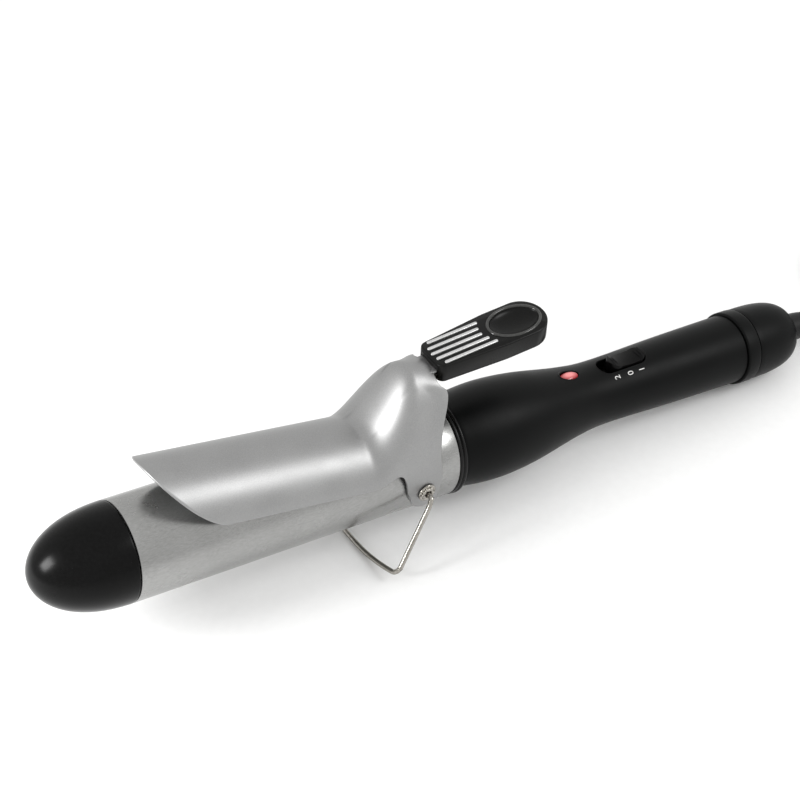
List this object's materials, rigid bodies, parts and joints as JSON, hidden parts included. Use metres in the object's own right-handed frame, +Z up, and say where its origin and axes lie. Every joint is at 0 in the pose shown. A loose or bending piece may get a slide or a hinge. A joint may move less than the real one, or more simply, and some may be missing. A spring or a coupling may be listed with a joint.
{
  "type": "curling iron",
  "caption": "Curling iron with a heated round barrel, a spring clip with thumb lever, a swing-out wire stand, a slide switch and a coiled mains lead",
  "frame": {"origin": "On the table, under the middle of the box of the iron without its lead; the iron rests on the crossbar of its stand and on its rear end cap", "axes": "+X runs from the tip to the cord end, +Y is across the iron and along the hinge pins, +Z is up"},
  "size_m": [0.5302, 0.0969, 0.0789],
  "materials": {
    "silver_barrel": "satin clear-coated metal, brushed round the barrel",
    "satin_clip": "satin pressed sheet with a fine metallic fleck",
    "gloss_black": "high-gloss heat-proof plastic",
    "collar_black": "half-gloss heat-proof plastic",
    "soft_touch_black": "soft-touch rubberised paint over plastic",
    "lever_black": "half-gloss moulded plastic",
    "bright_nickel": "bright nickel plate",
    "spring_steel": "bright spring steel",
    "red_lens": "translucent red moulding",
    "aluminium_core": "cast aluminium",
    "ceramic": "unglazed ceramic",
    "circuit_board": "solder-masked board",
    "silicone_wire": "silicone sleeve",
    "switch_black": "fine-grained moulded plastic",
    "cord_black": "dull black cord sheath"
  },
  "bodies": {
    "iron": {"tip_cap": "gloss_black", "barrel_tube": "silver_barrel", "heat_spreader_upper": "aluminium_core", "heat_spreader_lower": "aluminium_core", "ptc_heater": "ceramic", "heat_collar": "collar_black", "handle_shell": "soft_touch_black", "end_ring": "soft_touch_black", "end_cap": "soft_touch_black", "cord_boot": "cord_black", "control_board": "circuit_board", "led_lamp": "red_lens", "led_lens": "red_lens", "switch_body": "switch_black", "thermal_fuse": "spring_steel", "heater_lead_live": "silicone_wire", "heater_lead_neutral": "silicone_wire", "spring_bracket": "spring_steel", "spring_pin": "bright_nickel", "clip_spring_left": "spring_steel", "clip_spring_right": "spring_steel", "pivot_eyelet_left": "bright_nickel", "pivot_eyelet_right": "bright_nickel", "handle_screw": "bright_nickel", "cord_lead": "cord_black", "cord_coil": "cord_black", "cord_tail": "cord_black", "cord_tie": "cord_black", "plug_body": "cord_black", "plug_pin_left": "bright_nickel", "plug_pin_right": "bright_nickel"},
    "clip": {"clip_plate": "satin_clip", "thumb_lever": "lever_black", "lever_screw_front": "bright_nickel", "lever_screw_rear": "bright_nickel"},
    "stand": {"stand_wire": "bright_nickel"},
    "switch": {"switch_knob": "switch_black"}
  },
  "joints": [
    {"name": "clip_hinge", "type": "hinge", "parent": "iron", "child": "clip", "pos_m": [-0.02386, 0, 0.02898], "axis": [0, 1, 0], "range_deg": [-7.5, 23.5], "stiffness_Nm_per_rad": 1.5, "deforming": ["clip_spring_left", "clip_spring_right"]},
    {"name": "stand_hinge", "type": "hinge", "parent": "iron", "child": "stand", "pos_m": [-0.02386, 0, 0.02898], "axis": [0, 1, 0], "range_deg": [-85, 0]},
    {"name": "switch_slide", "type": "slide", "parent": "iron", "child": "switch", "axis": [-0.9971, 0, 0.076], "range_m": [0, 0.0048]}
  ]
}
